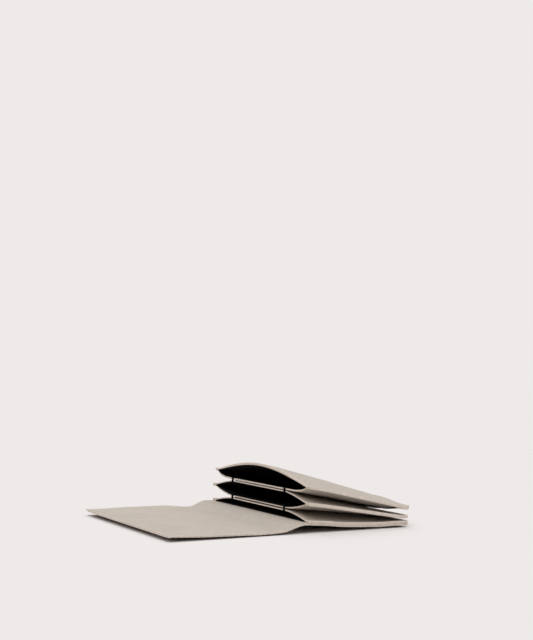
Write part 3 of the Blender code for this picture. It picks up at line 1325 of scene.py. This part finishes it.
# The photograph's view: place in metres, azimuth, pitch and roll in degrees, and lens
CAMERA_PLACE = (-0.28861, -0.5006, 0.07733)
CAMERA_ANGLES = (-30.84, -2.58, 1.375)
CAMERA_LENS = 62.5


class CARDHOLDER_OT_stage(bpy.types.Operator):
    """Pale floor, soft studio light and the camera"""

    bl_idname = "card_holder.stage"
    bl_label = "Stage"

    def execute(self, context):
        scene = context.scene
        shape = bmesh.new()
        bmesh.ops.create_grid(shape, x_segments=1, y_segments=1, size=FLOOR_REACH)
        mesh = bpy.data.meshes.new("floor")
        shape.to_mesh(mesh)
        shape.free()
        finish = Finish("studio floor")
        dust = finish.noise(0.4)
        colour = tuple(colours().floor)
        floor_colour = finish.mix(dust, colour, tint(colour, 1.002))
        finish.finish(floor_colour, 1.0, dust, 0.0, specular=0.0)
        mesh.materials.append(finish.material)
        mesh.transform(Matrix.Translation((0.0, 0.0, -FLOOR_DROP)))
        floor = bpy.data.objects.new("floor", mesh)
        scene.collection.objects.link(floor)

        world = bpy.data.worlds.new("studio")
        world.use_nodes = True
        scene.world = world
        sky = Nodes(world.node_tree)
        plain = sky.tree.nodes["Background"]
        sky.feed(plain.inputs["Color"], tuple(colours().backdrop))
        direction = sky.node("ShaderNodeTexCoord", output="Generated")
        height = sky.node("ShaderNodeSeparateXYZ", {}, {0: direction}, output="Z")
        rise = {"Value": height, "From Min": DOME_FROM, "From Max": DOME_TO}
        rise.update({"To Min": DOME_LOW, "To Max": DOME_HIGH})
        dome = sky.node("ShaderNodeMapRange", {"interpolation_type": "SMOOTHSTEP"}, rise, output="Result")
        glow = sky.node("ShaderNodeBackground", {}, {"Color": DOME_COLOUR, "Strength": dome})
        seen = sky.node("ShaderNodeLightPath", output="Is Camera Ray")
        parts = {0: seen, 1: glow, 2: Value(sky, plain.outputs[0])}
        either = sky.node("ShaderNodeMixShader", {}, parts)
        sky.feed(sky.tree.nodes["World Output"].inputs["Surface"], either)
        for name, strength, spread, tilt, turn in LAMPS:
            light = bpy.data.lights.new(name, "SUN")
            light.energy = strength
            light.angle = math.radians(spread)
            lamp = bpy.data.objects.new(name, light)
            lamp.rotation_euler = (math.radians(tilt), 0.0, math.radians(turn))
            scene.collection.objects.link(lamp)

        azimuth, pitch, roll = (math.radians(angle) for angle in CAMERA_ANGLES)
        flat = math.cos(pitch)
        back = Vector((math.sin(azimuth) * flat, -math.cos(azimuth) * flat, math.sin(pitch)))
        level = Vector((math.cos(azimuth), math.sin(azimuth), 0.0))
        upright = back.cross(level)
        right = level * math.cos(roll) + upright * math.sin(roll)
        up = upright * math.cos(roll) - level * math.sin(roll)
        data = bpy.data.cameras.new("photo camera")
        data.sensor_width = 36.0
        data.lens = CAMERA_LENS
        data.clip_start = 0.01
        data.clip_end = 200.0
        camera = bpy.data.objects.new("photo camera", data)
        place_at = Matrix((right, up, back)).transposed().to_4x4()
        place_at.translation = CAMERA_PLACE
        camera.matrix_world = place_at
        scene.collection.objects.link(camera)
        scene.camera = camera
        scene.view_settings.view_transform = "Standard"
        return {"FINISHED"}


class CARDHOLDER_PT_panel(bpy.types.Panel):
    """The steps of the card holder, in the 3D view's sidebar"""

    bl_idname = "CARDHOLDER_PT_panel"
    bl_label = "Accordion card holder"
    bl_space_type = "VIEW_3D"
    bl_region_type = "UI"
    bl_category = "Card Holder"

    def draw(self, context):
        for operator in OPERATORS:
            self.layout.operator(operator.bl_idname)
        for group in (context.scene.card_holder_sizes, context.scene.card_holder_colours):
            box = self.layout.box()
            for name in group.__annotations__:
                box.prop(group, name)


OPERATORS = (
    CARDHOLDER_OT_back_and_flap,
    CARDHOLDER_OT_walls,
    CARDHOLDER_OT_gussets,
    CARDHOLDER_OT_front_panel,
    CARDHOLDER_OT_seam_bands,
    CARDHOLDER_OT_stitches,
    CARDHOLDER_OT_tacks,
    CARDHOLDER_OT_stage,
)
CLASSES = (CardHolderSizes, CardHolderColours, *OPERATORS, CARDHOLDER_PT_panel)


def register():
    for made in CLASSES:
        bpy.utils.register_class(made)
    bpy.types.Scene.card_holder_sizes = PointerProperty(type=CardHolderSizes)
    bpy.types.Scene.card_holder_colours = PointerProperty(type=CardHolderColours)


def unregister():
    del bpy.types.Scene.card_holder_colours
    del bpy.types.Scene.card_holder_sizes
    for made in reversed(CLASSES):
        bpy.utils.unregister_class(made)


def main():
    register()
    for operator in OPERATORS:
        group, name = operator.bl_idname.split(".")
        getattr(getattr(bpy.ops, group), name)()


if __name__ == "__main__":
    main()
